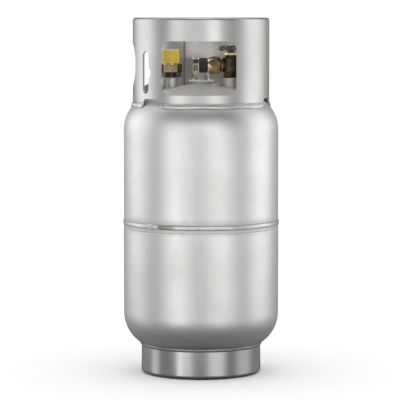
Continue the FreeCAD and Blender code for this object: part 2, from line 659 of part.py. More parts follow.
def relief_poppet():
    """Relief disc and its long stem, which reaches into the cylinder."""
    return turned([(0, 522), (2.5, 522), (2.5, RELIEF_SEAT_Z + 2), (11.5, RELIEF_SEAT_Z + 2),
                   (11.5, RELIEF_SEAT_Z + 5.5, 1), (4, RELIEF_SEAT_Z + 7, 1), (0, RELIEF_SEAT_Z + 7)], RELIEF_PLACE)


def relief_seat_disc():
    """Soft ring under the relief disc."""
    return ring(2.5, 11.2, RELIEF_SEAT_Z, RELIEF_SEAT_Z + 2, RELIEF_PLACE)


def relief_spring():
    """Spring under the body's web, pulling the disc down on its seat."""
    return spring(5.2, 1.1, 529.2, 555.8, 6, RELIEF_PLACE)


def relief_spring_nut():
    """Nut that holds the spring on the stem."""
    nut = hexagon(14, 523, 529, RELIEF_PLACE)
    return nut.cut(ring(0, 2.5, 520, 530, RELIEF_PLACE))


def relief_cap():
    """Yellow push-on weather cap, slightly tapered, with grip grooves."""
    low, high = RELIEF_CAP_Z
    inner = RELIEF_BARREL_RADIUS + FREE_GAP
    cap = turned([(inner, low), (RELIEF_CAP_RADIUS, low, 0.8), (RELIEF_CAP_RADIUS - 0.9, high, 3.5),
                  (0, high), (0, high - 3), (inner, high - 3)], RELIEF_PLACE)
    return scalloped(cap, 24, 1.3, RELIEF_CAP_RADIUS + 0.5, low + 4, high - 5, RELIEF_PLACE)


# Filler valve

def filler_body():
    """Brass body: shank, hexagon, coarse male thread and a seat that faces down."""
    place = FILLER_PLACE
    shank = ring(0, PIPE_THREAD_RADIUS, 558, BOSS_TOP_Z + 1, place)
    grip = hexagon(FILLER_HEX, BOSS_TOP_Z + 0.5, 594, place, spin=10)
    thread = threaded(FILLER_THREAD_RADIUS, 3.2, 593.5, 607, place)
    body = shank.fuse([grip, thread]).removeSplitter()
    bore = turned([(0, 550), (10, 550), (10, FILLER_SEAT_Z - 3), (6.5, FILLER_SEAT_Z), (6.5, 603), (9, 605.5),
                   (9, 610), (0, 610)], place)
    return body.cut(bore)


def filler_guide():
    """Spider in the shank that guides the poppet's stem and holds the spring."""
    x, y = FILLER_PLACE
    spider = ring(0, 10, 560, 564, FILLER_PLACE)
    tools = [ring(0, 2 + RUNNING_GAP, 558, 566, FILLER_PLACE)]
    for i in range(5):
        angle = math.radians(72 * i)
        base = Vector(x + 6.6 * math.cos(angle), y + 6.6 * math.sin(angle), 559)
        tools.append(Part.makeCylinder(2.2, 8, base))
    return spider.cut(tools)


def filler_poppet():
    """Check poppet with a guide stem below."""
    return turned([(0, 554), (2, 554), (2, 589), (8, 589), (8, 593.6), (6, 595.4), (3, 596), (0, 596)], FILLER_PLACE)


def filler_seal():
    """Soft ring on the poppet's cone that meets the seat."""
    return turned([(6.9, 595.0), (7.9, 594.0), (8.6, 595.4), (6.9, 597.3)], FILLER_PLACE)


def filler_spring():
    """Spring that pushes the poppet up against its seat."""
    return spring(5.6, 0.8, 564.1, 588.9, 6, FILLER_PLACE)


def filler_cap():
    """Black screw cap of the filler, with grip grooves."""
    low, high = FILLER_CAP_Z
    inner = FILLER_THREAD_RADIUS + FREE_GAP
    cap = turned([(inner, low), (FILLER_CAP_RADIUS, low, 0.8), (FILLER_CAP_RADIUS, high, 2.5),
                  (0, high), (0, high - 3), (inner, high - 3)], FILLER_PLACE)
    return scalloped(cap, 24, 1.5, FILLER_CAP_RADIUS + 0.7, low - 1, high - 4, FILLER_PLACE)


# Fixed liquid level (outage) valve

def outage_body():
    """Small brass body with a vent hole in its side."""
    place = OUTAGE_PLACE
    shank = ring(0, SMALL_THREAD_RADIUS, 560, OUTAGE_BOSS_TOP_Z + 1, place)
    grip = hexagon(16, OUTAGE_BOSS_TOP_Z + 0.5, 592, place, spin=30)
    barrel = turned([(0, 591.5), (6.9, 591.5), (6.9, 608, 0.8), (0, 608)], place)
    body = shank.fuse([grip, barrel]).removeSplitter()
    tools = [ring(0, 1.2, 558, 592, place), ring(0, 2.0, 558, 568, place),
             ring(0, 3 + RUNNING_GAP, 591, 609, place)]
    tools.append(Part.makeCylinder(0.8, 12, Vector(place[0], place[1], 594), Vector(0, -1, 0)))
    return body.cut(tools)


def outage_screw():
    """Vent screw with a knurled knob."""
    screw = turned([(0, 593.2), (1.6, 593.2), (3, 595), (3, 608.4), (5.2, 608.4), (5.2, 616.5), (7.2, 616.5, 0.6),
                    (7.2, 624.5, 1.0), (0, 624.5)], OUTAGE_PLACE)
    knob = scalloped(screw, 20, 0.5, 7.4, 617.3, 623.5, OUTAGE_PLACE)
    return knob.cut(Part.makeBox(14, 1.2, 3, Vector(OUTAGE_PLACE[0] - 7, OUTAGE_PLACE[1] - 0.6, 622.6)))


def outage_tube():
    """Dip tube whose end marks the highest liquid level when the cylinder lies on its side."""
    x, y = OUTAGE_PLACE
    points = (Vector(x, y, 567.5), Vector(x, y, 515), Vector(x - 42, y, 455))
    return bent_tube(points, 30, 2.0, 1.2)


# Float gauge

def gauge_head():
    """Die-cast head: flange, screw holes, dial seat and a spigot that holds the support tube."""
    place = GAUGE_PLACE
    head = turned([(0, 562), (13.6, 562), (13.6, 574.3), (GAUGE_HEAD_RADIUS, 574.3),
                   (GAUGE_HEAD_RADIUS, 579, 1.2), (17.2, 579), (17.0, 580.6, 0.5), (0, 580.6)], place)
    tools = [ring(0, GAUGE_TUBE_RADIUS, 560, 568, place), ring(0, GAUGE_SHAFT_RADIUS + RUNNING_GAP, 560, 574, place),
             ring(0, 8, 571, 578, place)]
    for spot in gauge_screw_places():
        tools.append(ring(0, 2.5, 570, 582, spot))
    return head.cut(tools)


def gauge_gasket():
    """Flat gasket between gauge head and boss."""
    holes = [ring(0, 2.5, 570, 580, spot) for spot in gauge_screw_places()]
    return ring(14, GAUGE_HEAD_RADIUS - 0.5, GAUGE_BOSS_TOP_Z, 574.3, GAUGE_PLACE).cut(holes)


def gauge_screws():
    """Four slotted fillister-head screws."""
    screws = []
    for spot in gauge_screw_places():
        screw = turned([(0, 564), (2.4, 564), (2.4, 579), (3.3, 579), (3.3, 581.8, 0.8), (0, 581.8)], spot)
        slot = Part.makeBox(8, 0.8, 2, Vector(spot[0] - 4, spot[1] - 0.4, 580.9))
        screws.append(screw.cut(slot))
    return Part.makeCompound(screws)


def gauge_dial():
    """Dial cup on the gauge head, with the pointer's pivot pin."""
    return turned([(0, 580.6), (15.2, 580.6), (15.2, 590, 0.4), (14.2, 590), (14.2, 588.2), (0.6, 588.2),
                   (0.6, 592.4), (0, 592.4)], GAUGE_PLACE)


def gauge_lens():
    """Clear cup over the dial."""
    return turned([(15.4, 580.9), (17, 580.9), (17, 597, 2.0), (0, 597), (0, 595.4), (15.4, 595.4, 1.0)],
                  GAUGE_PLACE)


def gauge_pointer():
    """Needle above the dial, its hub round the pivot pin."""
    x, y = GAUGE_PLACE
    hub = ring(0, 2.6, 591, 592, GAUGE_PLACE)
    needle = Part.makePolygon([Vector(x - 5, y - 0.9, 591), Vector(x + 12.5, y - 0.35, 591),
                               Vector(x + 12.5, y + 0.35, 591), Vector(x - 5, y + 0.9, 591),
                               Vector(x - 5, y - 0.9, 591)])
    blade = Part.Face(needle).extrude(Vector(0, 0, 0.8))
    return hub.fuse(blade).removeSplitter().cut(ring(0, 0.6 + RUNNING_GAP, 588, 593, GAUGE_PLACE))


def pointer_magnet():
    """Disc magnet under the needle that follows the drive magnet."""
    return ring(0.6 + RUNNING_GAP, 4.2, 589, 591, GAUGE_PLACE)


def drive_magnet():
    """Disc magnet on top of the gauge shaft."""
    return ring(0, 7, 574.3, 577, GAUGE_PLACE)


def gauge_tube():
    """Support tube that carries the gauge shaft."""
    return ring(GAUGE_TUBE_RADIUS - 1, GAUGE_TUBE_RADIUS, GAUGE_TUBE_BOTTOM_Z, 568, GAUGE_PLACE)


def gauge_bush():
    """Bearing bush in the tube's lower end."""
    inner = GAUGE_SHAFT_RADIUS + RUNNING_GAP
    return turned([(inner, 379), (7, 379, 0.5), (7, GAUGE_TUBE_BOTTOM_Z), (GAUGE_TUBE_RADIUS - 1, GAUGE_TUBE_BOTTOM_Z),
                   (GAUGE_TUBE_RADIUS - 1, 390), (inner, 390)], GAUGE_PLACE)


def gauge_shaft():
    """Long shaft from the float arm to the drive magnet."""
    return ring(0, GAUGE_SHAFT_RADIUS, 364, 574.3, GAUGE_PLACE)


def float_arm():
    """Arm with its hub on the shaft's lower end."""
    x, y = GAUGE_PLACE
    arm_z = (FLOAT_Z[0] + FLOAT_Z[1]) / 2 + 2
    hub = ring(0, 4.5, arm_z - 4, arm_z + 4, GAUGE_PLACE, rounding=0.6)
    rod = Part.makeCylinder(1.6, FLOAT_ARM - FLOAT_RADIUS + 8, Vector(x, y, arm_z), Vector(1, 0, 0))
    return hub.fuse(rod).removeSplitter().cut(ring(0, GAUGE_SHAFT_RADIUS, 350, 380, GAUGE_PLACE))


def float_body():
    """Closed float, shown solid, with the hole that takes the arm."""
    x, y = GAUGE_PLACE
    arm_z = (FLOAT_Z[0] + FLOAT_Z[1]) / 2 + 2
    body = ring(0, FLOAT_RADIUS, FLOAT_Z[0], FLOAT_Z[1], (x + FLOAT_ARM, y), rounding=7)
    return body.cut(Part.makeCylinder(1.6, FLOAT_ARM - FLOAT_RADIUS + 8, Vector(x, y, arm_z), Vector(1, 0, 0)))


def build_shell():
    """Heads, foot ring, collar, bosses and every weld."""
    upper_envelope = head_envelope(SHELL_RADIUS, UPPER_TANGENT_Z, 1)
    lower_envelope = head_envelope(LOWER_SHELL_RADIUS, LOWER_TANGENT_Z, -1)
    lower = lower_head()
    upper = upper_head()
    openings = []
    for name, place, outer, bore, top in BOSSES:
        solid = boss(place, outer, bore, top)
        if name == "gauge_boss":
            solid = solid.cut([ring(0, 2.4, 563, 574, spot) for spot in gauge_screw_places()])
        save(name, solid)
        openings.append(ring(0, outer, BOSS_BOTTOM_Z - 20, BOSS_TOP_Z, place))
    save("boss_welds", Part.makeCompound([boss_weld(place, outer, upper_envelope)
                                          for name, place, outer, bore, top in BOSSES]))
    save("girth_weld", girth_weld(lower, upper))
    save("lower_head", lower)
    save("upper_head", upper.cut(openings))
    foot = foot_ring(lower_envelope)
    save("foot_ring", foot)
    save("foot_ring_weld", foot_ring_weld(foot, lower_envelope))
    save("collar", collar(upper_envelope))
    save("collar_weld", collar_welds(collar_blank(), upper_envelope))
    save("collar_seam_weld", collar_seam(collar_blank()))


FITTINGS = (valve_body, valve_plug, valve_seat_disc, valve_stem, valve_bonnet, valve_packing, valve_handwheel,
            handwheel_screw, eductor_tube, coupling_body, coupling_ring, coupling_poppet, coupling_seal,
            coupling_spring, coupling_cap, relief_body, relief_poppet, relief_seat_disc, relief_spring,
            relief_spring_nut, relief_cap, filler_body, filler_guide, filler_poppet, filler_seal, filler_spring,
            filler_cap, outage_body, outage_screw, outage_tube, gauge_head, gauge_gasket, gauge_screws, gauge_dial,
            gauge_lens, gauge_pointer, pointer_magnet, drive_magnet, gauge_tube, gauge_bush, gauge_shaft, float_arm,
            float_body)

build_shell()
for make in FITTINGS:
    save(make.__name__, make())
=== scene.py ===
"""Looks of the aluminium lift-truck propane cylinder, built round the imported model. Metres, +Z up."""

import json
import math

import bmesh
import bpy
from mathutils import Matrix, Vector, noise


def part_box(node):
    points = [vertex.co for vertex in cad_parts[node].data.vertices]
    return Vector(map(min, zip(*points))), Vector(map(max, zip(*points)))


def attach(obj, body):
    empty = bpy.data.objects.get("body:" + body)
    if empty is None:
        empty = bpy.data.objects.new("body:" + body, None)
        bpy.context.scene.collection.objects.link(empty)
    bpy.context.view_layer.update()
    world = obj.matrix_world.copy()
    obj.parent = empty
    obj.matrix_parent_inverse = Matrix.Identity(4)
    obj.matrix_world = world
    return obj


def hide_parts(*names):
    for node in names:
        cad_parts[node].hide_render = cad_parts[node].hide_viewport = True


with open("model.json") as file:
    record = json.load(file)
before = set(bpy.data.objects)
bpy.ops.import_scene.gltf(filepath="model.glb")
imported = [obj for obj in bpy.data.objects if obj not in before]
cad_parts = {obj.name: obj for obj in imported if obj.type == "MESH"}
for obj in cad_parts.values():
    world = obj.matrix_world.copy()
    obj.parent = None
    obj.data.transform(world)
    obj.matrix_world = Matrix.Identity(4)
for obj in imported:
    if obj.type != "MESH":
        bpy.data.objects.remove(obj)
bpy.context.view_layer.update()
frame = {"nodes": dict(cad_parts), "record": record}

NODES = frame["nodes"]

# Shape of the shell, as in the part's source
KNUCKLE_RADIUS = 0.073
CROWN_RADIUS = 0.280
SHELL_WALL = 0.0045
UPPER_TANGENT_Z = 0.488
LOWER_TANGENT_Z = 0.122
GIRTH_Z = 0.303
JOGGLE = 0.005                    # height over which the lower half's edge steps inwards
LIP_RADIUS = 0.1503
LIP_TOP_Z = GIRTH_Z + 0.012
ROLLED_LINE_Z = GIRTH_Z - 0.0114
ROLLED_LINE_DEPTH = 0.00035
ROLLED_LINE_WIDTH = 0.0010
FOOT_TOP_RADIUS = 0.119
FOOT_WELD_Z = 0.0585
GIRTH_STOP_AZIMUTH = -129.0       # where the girth weld starts and stops, in degrees from +X
GIRTH_CRATER_AWAY = 0.0185        # from there to the middle of its crater, round the shell
COLLAR_WELD_Z = 0.5386
COLLAR_WELD_TAPER = 0.007
COLLAR_WELD_ARCS = ((-35.5, 62.9), (84.5, 182.9), (204.5, 302.9))    # first and last, in degrees from the front
COLLAR_WELD_PITS = ((0.0080, 0.0020, 0.00240), (0.0015, 0.0012, 0.00192))   # place along the run, width, depth
BOSS_RADII = {"service_boss": 0.021, "relief_boss": 0.021, "filler_boss": 0.021, "outage_boss": 0.011,
              "gauge_boss": 0.027}

UPPER_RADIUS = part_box("upper_head")[1].x
LOWER_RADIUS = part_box("lower_head")[1].x
COLLAR_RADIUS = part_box("collar")[1].x


# Meshes

def mesh_piece(name, verts, faces, material, body="cylinder"):
    """A new piece from points and faces, riding on a body."""
    mesh = bpy.data.meshes.new(name)
    mesh.from_pydata(verts, [], faces)
    mesh.validate()
    build = bmesh.new()
    build.from_mesh(mesh)
    bmesh.ops.recalc_face_normals(build, faces=build.faces)
    build.to_mesh(mesh)
    build.free()
    piece = bpy.data.objects.new(name, mesh)
    bpy.context.scene.collection.objects.link(piece)
    mesh.materials.append(material)
    mesh.polygons.foreach_set("use_smooth", [True] * len(mesh.polygons))
    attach(piece, body)
    return piece


def arc(centre, radius, start, end, steps):
    """Points of an arc in a section, angles in degrees from +r towards +z."""
    points = []
    for i in range(steps + 1):
        angle = math.radians(start + (end - start) * i / steps)
        points.append((centre[0] + radius * math.cos(angle), centre[1] + radius * math.sin(angle)))
    return points


def lathe(name, section, material, shake, segments=192):
    """Closed solid of revolution; section is (r, z) points from pole to pole, and shake moves each a little."""
    inner = section[1:-1]
    count = len(inner)
    verts = []
    faces = []
    for i in range(segments):
        angle = 2 * math.pi * i / segments
        for r, z in inner:
            radius, height = shake(r, z, angle)
            verts.append((radius * math.cos(angle), radius * math.sin(angle), height))
    for i in range(segments):
        here, there = i * count, (i + 1) % segments * count
        faces += [(here + k, there + k, there + k + 1, here + k + 1) for k in range(count - 1)]
    for pole, row in ((section[0], 0), (section[-1], count - 1)):
        centre = len(verts)
        verts.append((0, 0, pole[1]))
        faces += [(i * count + row, (i + 1) % segments * count + row, centre) for i in range(segments)]
    return mesh_piece(name, verts, faces, material)


def swept(name, ring_at, count, closed, material):
    """Closed tube; ring_at(share) gives a ring of points at a share of the way from 0 to 1."""
    rings = [ring_at(i / count) for i in range(count if closed else count + 1)]
    size = len(rings[0])
    verts = [point for ring in rings for point in ring]
    faces = []
    for i in range(count):
        here, there = i * size, (i + 1) % len(rings) * size
        for k in range(size):
            n = (k + 1) % size
            faces.append((here + k, there + k, there + n, here + n))
    if not closed:
        faces.append(tuple(range(size)))
        faces.append(tuple(range(count * size, (count + 1) * size)))
    return mesh_piece(name, verts, faces, material)


# Materials

class Surface:
    """A material round one Principled shader; constants go on the shader's own sockets."""

    def __init__(self, name, **constants):
        self.material = bpy.data.materials.new(name)
        self.material.use_nodes = True
        self.tree = self.material.node_tree
        self.tree.nodes.clear()
        self.shader = self.add("ShaderNodeBsdfPrincipled")
        output = self.add("ShaderNodeOutputMaterial")
        self.tree.links.new(self.shader.outputs[0], output.inputs[0])
        for socket, value in constants.items():
            self.shader.inputs[socket.replace("_", " ")].default_value = value

    def add(self, kind, inputs=None, **settings):
        """A node with its settings and its inputs: sockets are linked and values are set."""
        node = self.tree.nodes.new(kind)
        for key, value in settings.items():
            setattr(node, key, value)
        for key, value in (inputs or {}).items():
            if isinstance(value, bpy.types.NodeSocket):
                self.tree.links.new(value, node.inputs[key])
            else:
                node.inputs[key].default_value = value
        return node

    def feed(self, socket, source):
        """Link a source to one of the shader's sockets."""
        self.tree.links.new(source, self.shader.inputs[socket])

    def place(self):
        """Position in the piece's own space, which is the frame's."""
        return self.add("ShaderNodeTexCoord").outputs["Object"]

    def stretched(self, scale):
        """Position scaled by a different amount along each axis."""
        return self.add("ShaderNodeMapping", {"Vector": self.place(), "Scale": scale}).outputs[0]

    def from_axis(self):
        """Position with its height removed: the way outwards from the cylinder's axis."""
        level = self.add("ShaderNodeVectorMath", {0: self.place(), 1: (1.0, 1.0, 0.0)}, operation="MULTIPLY")
        return level.outputs[0]

    def around(self, turns, height):
        """Position unrolled round the cylinder's axis: angle times turns, and height times height."""
        split = self.add("ShaderNodeSeparateXYZ", {0: self.place()})
        angle = self.math("ARCTAN2", split.outputs[1], split.outputs[0])
        wide = self.math("MULTIPLY", angle, turns)
        tall = self.math("MULTIPLY", split.outputs[2], height)
        return self.add("ShaderNodeCombineXYZ", {0: wide, 1: tall, 2: 0.0}).outputs[0]

    def math(self, operation, first, second=0.5, clamp=False):
        """One math node's result."""
        return self.add("ShaderNodeMath", {0: first, 1: second}, operation=operation, use_clamp=clamp).outputs[0]

    def noise(self, scale, detail=4.0, vector=None, rough=0.5, distortion=0.0):
        """Noise value from 0 to 1."""
        inputs = {"Vector": vector or self.place(), "Scale": scale, "Detail": detail, "Roughness": rough,
                  "Distortion": distortion}
        return self.add("ShaderNodeTexNoise", inputs).outputs["Fac"]

    def spread(self, source, low, high, to_low=0.0, to_high=1.0, smooth=False):
        """Maps a range of values to another, clamped."""
        kind = "SMOOTHSTEP" if smooth else "LINEAR"
        node = self.add("ShaderNodeMapRange", {0: source, 1: low, 2: high, 3: to_low, 4: to_high},
                        interpolation_type=kind, clamp=True)
        return node.outputs[0]

    def mix(self, share, first, second):
        """Colour between two, by share."""
        node = self.add("ShaderNodeMix", {"Factor": share, 6: first, 7: second}, data_type="RGBA")
        return node.outputs[2]

    def bump(self, height, distance, strength=1.0, under=None):
        """Bump normal; under is another bump's normal to build on."""
        inputs = {"Height": height, "Distance": distance, "Strength": strength}
        if under:
            inputs["Normal"] = under
        return self.add("ShaderNodeBump", inputs).outputs[0]

    def height(self):
        """Height above the floor."""
        return self.add("ShaderNodeSeparateXYZ", {0: self.place()}).outputs[2]

    def facing_axis(self):
        """1 on surfaces that look towards the cylinder's axis, 0 elsewhere."""
        normal = self.add("ShaderNodeNewGeometry").outputs["True Normal"]
        facing = self.add("ShaderNodeVectorMath", {0: normal, 1: self.from_axis()}, operation="DOT_PRODUCT")
        return self.spread(facing.outputs["Value"], -0.10, -0.06, 1.0, 0.0)

    def crevice(self, distance):
        """1 in open places, falling to 0 in corners."""
        return self.add("ShaderNodeAmbientOcclusion", {"Distance": distance}, samples=8).outputs["AO"]


def grey(value, warmth=0.0):
    """A near-neutral colour."""
    return (value * (1 + warmth), value, value * (1 - warmth), 1.0)


def bare_aluminium(name, light, dark, roughness, brush_turns, brush_height, brush_depth,
                   near_weld=None, corner=0.012, corner_shade=0.55, inner_wall_light=None, crown=None, toe=None):
    """Satin aluminium: brushing, blotches, handling marks, painted shade and painted light, and dull bands
    beside welds.

    near_weld is a weld's height and how far its dull band reaches; corner is the reach of the painted shade in
    corners, and corner_shade its tone as a share of dark; inner_wall_light is the paler tone painted on walls
    facing the axis as painted light, crown the paler tone painted on the head within the collar as painted
    light, and toe the height of a weld's edge along which a dark line is painted as painted shade.
    """
    s = Surface(name, Metallic=1.0, Anisotropic=0.25)
    blotch = s.noise(9.0, 5.0, rough=0.6)
    cloud = s.noise(3.1, 3.0, distortion=0.4)
    brush = s.noise(1.0, 3.0, s.around(brush_turns, brush_height), rough=0.7)
    scratch = s.noise(1.0, 2.0, s.around(14.0, 1500.0), rough=0.5, distortion=0.6)
    marks = s.spread(scratch, 0.70, 0.78)
    open_place = s.spread(s.crevice(corner), 0.25, 0.85)
    tone = s.mix(s.spread(blotch, 0.35, 0.70, smooth=True), grey(light), grey(light * 0.93, 0.004))
    tone = s.mix(s.spread(cloud, 0.55, 0.75, to_high=0.5), tone, grey(light * 0.90, 0.006))
    tone = s.mix(s.math("MULTIPLY", marks, 0.3), tone, grey(min(1.0, light * 1.08)))
    rough = s.spread(brush, 0.3, 0.7, roughness - 0.035, roughness + 0.045)
    rough = s.math("ADD", rough, s.spread(blotch, 0.3, 0.75, -0.02, 0.05))
    if near_weld:
        centre, reach = near_weld
        away = s.math("ABSOLUTE", s.math("SUBTRACT", s.height(), centre))
        ragged = s.math("ADD", away, s.spread(s.noise(55.0, 3.0), 0.3, 0.7, -0.002, 0.002))
        dull = s.spread(ragged, 0.0055, reach, 1.0, 0.0, smooth=True)
        tone = s.mix(s.math("MULTIPLY", dull, 0.35), tone, grey(dark))
        rough = s.math("ADD", rough, s.math("MULTIPLY", dull, 0.10))
    # Painted light: walls facing the axis are painted a paler tone.
    if inner_wall_light:
        tone = s.mix(s.facing_axis(), tone, grey(inner_wall_light, 0.01))
    # Painted light: the head within the collar is painted a paler tone, and it is also rougher there.
    if crown:
        reach = s.add("ShaderNodeVectorMath", {0: s.from_axis()}, operation="LENGTH").outputs["Value"]
        within = s.spread(reach, COLLAR_RADIUS - 0.0064, COLLAR_RADIUS - 0.0004, 1.0, 0.0)
        lit_crown = s.math("MULTIPLY", within, s.spread(s.height(), 0.45, 0.50))
        tone = s.mix(lit_crown, tone, grey(crown, 0.01))
        rough = s.math("ADD", rough, s.math("MULTIPLY", lit_crown, 0.14))
    # Painted shade: a patchy dark line along the weld's edge.
    if toe:
        off = s.math("ABSOLUTE", s.math("SUBTRACT", s.height(), toe))
        patchy = s.spread(s.noise(7.0, 2.0), 0.35, 0.62, 0.12, 0.60)
        depth = s.math("MULTIPLY", s.spread(off, 0.0005, 0.0014, 1.0, 0.0), patchy)
        tone = s.mix(depth, tone, grey(dark * 0.5, 0.03))
    # Painted shade: darker towards corners and crevices, from ambient occlusion.
    tone = s.mix(open_place, grey(dark * corner_shade, 0.02), tone)
    s.feed("Base Color", tone)
    s.feed("Roughness", rough)
    waves = s.bump(s.noise(16.0, 2.0), 0.0004, 0.25)
    s.feed("Normal", s.bump(brush, brush_depth, 0.5, waves))
    return s.material


def weld_metal(name, tone, scorch=None):
    """As-welded bead: bright crests and painted shade between the ripples.

    scorch is a stretch of x where the front of the bead is burnt brown.
    """
    s = Surface(name, Metallic=1.0)
    grain = s.noise(420.0, 4.0, rough=0.7)
    patch = s.noise(38.0, 4.0)
    hollow = s.spread(s.crevice(0.004), 0.35, 0.95)
    colour = s.mix(s.spread(patch, 0.35, 0.7), grey(tone), grey(tone * 0.84, 0.01))
    # Painted shade: darker in the hollows between the ripples, from ambient occlusion.
    colour = s.mix(hollow, grey(tone * 0.30, 0.03), colour)
    tint = s.spread(s.noise(5.0, 2.0), 0.50, 0.66, 0.0, 0.55)
    colour = s.mix(tint, colour, (tone * 0.86, tone * 0.76, tone * 0.70, 1.0))
    if scorch:
        split = s.add("ShaderNodeSeparateXYZ", {0: s.place()})
        start = s.spread(split.outputs[0], scorch[0] - 0.002, scorch[0])
        end = s.spread(split.outputs[0], scorch[1], scorch[1] + 0.015, 1.0, 0.0, smooth=True)
        front = s.spread(split.outputs[1], -0.06, -0.05, 0.85, 0.0)
        share = s.math("MULTIPLY", s.math("MULTIPLY", start, end), front)
        colour = s.mix(share, colour, (tone * 0.48, tone * 0.41, tone * 0.38, 1.0))
    s.feed("Base Color", colour)
    s.feed("Roughness", s.spread(grain, 0.3, 0.7, 0.26, 0.46))
    s.feed("Normal", s.bump(grain, 0.00015, 0.5))
    return s.material


def machined(name, bright, dull, roughness, metallic=1.0, tarnish=0.5, shade_band=None, outlet=None):
    """Turned metal with tool lines, painted shade in the corners and dulled patches.

    shade_band is a range of heights painted dark as painted shade; outlet is an x and the colour of the piece on
    its smaller side.
    """
    s = Surface(name, Metallic=metallic, Anisotropic=0.3)
    lines = s.noise(1.0, 2.0, s.stretched((90.0, 90.0, 5200.0)), rough=0.6)
    patch = s.noise(120.0, 5.0, rough=0.65)
    open_place = s.spread(s.crevice(0.006), 0.30, 0.90)
    colour = s.mix(s.spread(patch, 0.42, 0.72, to_high=tarnish), bright, dull)
    shade = (dull[0] * 0.35, dull[1] * 0.33, dull[2] * 0.30, 1.0)
    if outlet:
        across = s.add("ShaderNodeSeparateXYZ", {0: s.place()}).outputs[0]
        colour = s.mix(s.spread(across, outlet[0] - 0.0008, outlet[0], 1.0, 0.0), colour, outlet[1])
    # Painted shade: a dark band over a range of heights.
    if shade_band:
        above = s.spread(s.height(), shade_band[0] - 0.001, shade_band[0])
        below = s.spread(s.height(), shade_band[1], shade_band[1] + 0.001, 1.0, 0.0)
        colour = s.mix(s.math("MULTIPLY", s.math("MULTIPLY", above, below), 0.93), colour, grey(0.05, 0.04))
    # Painted shade: darker in the corners, from ambient occlusion.
    s.feed("Base Color", s.mix(open_place, shade, colour))
    s.feed("Roughness", s.math("ADD", s.spread(lines, 0.3, 0.7, roughness - 0.05, roughness + 0.07),
                               s.spread(patch, 0.4, 0.8, 0.0, 0.14)))
    s.feed("Normal", s.bump(lines, 0.00006, 0.4))
    return s.material


def moulded(name, colour, worn, roughness, coat=0.0):
    """Moulded plastic or rubber: fine grain, faded and grubby patches and painted shade in crevices."""
    s = Surface(name, Coat_Weight=coat)
    patch = s.noise(70.0, 5.0, rough=0.65)
    fine = s.noise(900.0, 2.0)
    open_place = s.spread(s.crevice(0.005), 0.35, 0.95)
    tone = s.mix(s.spread(patch, 0.45, 0.75, to_high=0.55), colour, worn)
    crevice_shade = tuple(c * 0.35 for c in colour[:3]) + (1.0,)
    # Painted shade: darker in crevices, from ambient occlusion.
    s.feed("Base Color", s.mix(open_place, crevice_shade, tone))
    s.feed("Roughness", s.spread(patch, 0.3, 0.8, roughness, roughness + 0.15))
    s.feed("Normal", s.bump(fine, 0.00008, 0.35))
    return s.material


def painted(name, colour, bare, roughness):
    """Paint over metal, worn through on the crests."""
    s = Surface(name)
    edge = s.spread(s.add("ShaderNodeNewGeometry").outputs["Pointiness"], 0.515, 0.60)
    chips = s.spread(s.noise(240.0, 4.0, rough=0.7), 0.50, 0.62)
    worn = s.math("MULTIPLY", edge, chips, clamp=True)
    patch = s.noise(90.0, 4.0)
    tone = s.mix(s.spread(patch, 0.4, 0.75), colour, tuple(c * 1.7 for c in colour[:3]) + (1.0,))
    s.feed("Base Color", s.mix(worn, tone, bare))
    s.feed("Metallic", worn)
    s.feed("Roughness", s.spread(patch, 0.3, 0.75, roughness, roughness + 0.18))
    s.feed("Normal", s.bump(s.noise(700.0, 2.0), 0.00012, 0.4))
    return s.material


def clear_plastic(name):
    """Hazed clear lens."""
    s = Surface(name, Base_Color=(0.94, 0.93, 0.88, 1.0), Transmission_Weight=0.74, IOR=1.49)
    haze = s.noise(70.0, 3.0)
    s.feed("Roughness", s.spread(haze, 0.35, 0.75, 0.10, 0.24))
    s.feed("Normal", s.bump(haze, 0.00004, 0.15))
    return s.material


SHELL = bare_aluminium("shell_aluminium", light=0.77, dark=0.42, roughness=0.38,
                       brush_turns=6.0, brush_height=2300.0, brush_depth=0.00005,
                       near_weld=(GIRTH_Z, 0.020), corner=0.013, corner_shade=1.25, crown=1.0, toe=GIRTH_Z + 0.0050)
COLLAR = bare_aluminium("collar_aluminium", light=0.59, dark=0.38, roughness=0.27,
                        brush_turns=5.0, brush_height=1700.0, brush_depth=0.000022,
                        inner_wall_light=0.70, toe=COLLAR_WELD_Z + 0.0057)
FOOT = bare_aluminium("foot_aluminium", light=0.455, dark=0.26, roughness=0.15,
                      brush_turns=8.0, brush_height=1500.0, brush_depth=0.00006)
WELD = weld_metal("weld_aluminium", 0.72)
GIRTH_WELD = weld_metal("girth_weld_aluminium", 0.72, scorch=(-0.083, -0.060))
# A darker copy of the weld metal, used on the foot weld.
DARK_WELD = weld_metal("darker_weld", 0.44)
SEAM = weld_metal("seam_weld", 0.36)
BOSS = machined("boss_aluminium", grey(0.50), grey(0.30, 0.01), 0.36, tarnish=0.8)
DULL_BRASS = machined("dull_brass", (0.72, 0.50, 0.24, 1), (0.30, 0.18, 0.08, 1), 0.22, tarnish=0.9)
# Valve body: tarnished brass darkened to near-black as painted shade; its outlet side keeps a lighter brass
# colour.
DARK_BRASS = machined("tarnished_shaded_brass", (0.10, 0.075, 0.042, 1), (0.035, 0.032, 0.022, 1), 0.32, tarnish=0.9,
                      outlet=(0.0435, (0.42, 0.25, 0.13, 1)))
BRIGHT_BRASS = machined("bright_brass", (0.64, 0.43, 0.22, 1), (0.14, 0.09, 0.05, 1), 0.16, tarnish=0.85)
FILLER_BRASS = machined("filler_brass", (0.20, 0.17, 0.10, 1), (0.07, 0.06, 0.045, 1), 0.34, tarnish=0.8)
PALE_BRASS = machined("pale_brass", (0.82, 0.68, 0.47, 1), (0.36, 0.27, 0.17, 1), 0.30, tarnish=0.6)
